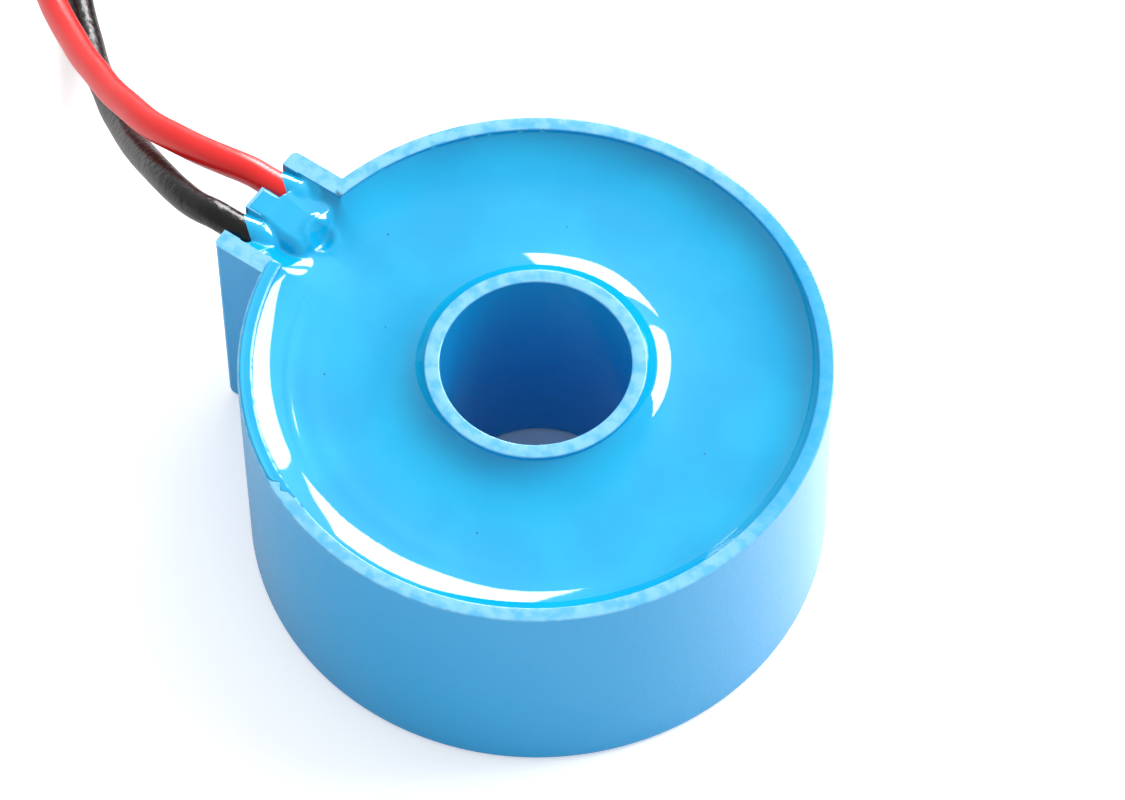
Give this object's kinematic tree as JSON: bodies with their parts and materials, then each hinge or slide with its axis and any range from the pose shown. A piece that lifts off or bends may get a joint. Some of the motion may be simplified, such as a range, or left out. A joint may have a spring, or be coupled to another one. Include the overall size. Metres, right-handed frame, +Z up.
{
  "type": "current transformer",
  "caption": "Through-hole current transformer: a wound ring core potted in a round moulded case with a side pocket, from which two flexible leads leave",
  "frame": {"origin": "on the hole's axis, at the face that the case stands on", "axes": "+Z up along the hole to the open, potted face; the lead pocket points along -X; +Y completes a right-handed frame"},
  "size_m": [0.0674, 0.0524, 0.0147],
  "materials": {
    "case_plastic": "smooth",
    "resin": "glossy",
    "core_metal": "satin",
    "pad": "matt",
    "box_plastic": "matt",
    "copper": "enamelled",
    "tape": "satin",
    "tin": "satin",
    "red_insulation": "smooth",
    "black_insulation": "matt",
    "sleeve_plastic": "satin"
  },
  "bodies": {
    "root": {"case": "case_plastic", "resin_fill": "resin", "core": "core_metal", "core_pad": "pad", "core_box": "box_plastic", "core_box_lid": "box_plastic", "winding": "copper", "winding_tape": "tape", "red_wire_end": "copper", "black_wire_end": "copper", "red_joint": "tin", "black_joint": "tin", "red_stub": "tin", "black_stub": "tin", "red_sleeve": "sleeve_plastic", "black_sleeve": "sleeve_plastic", "red_lead_root": "red_insulation", "black_lead_root": "black_insulation", "red_lead": "red_insulation", "black_lead": "black_insulation", "red_coil": "red_insulation", "black_coil": "black_insulation", "red_tip": "tin", "black_tip": "tin"}
  },
  "joints": []
}
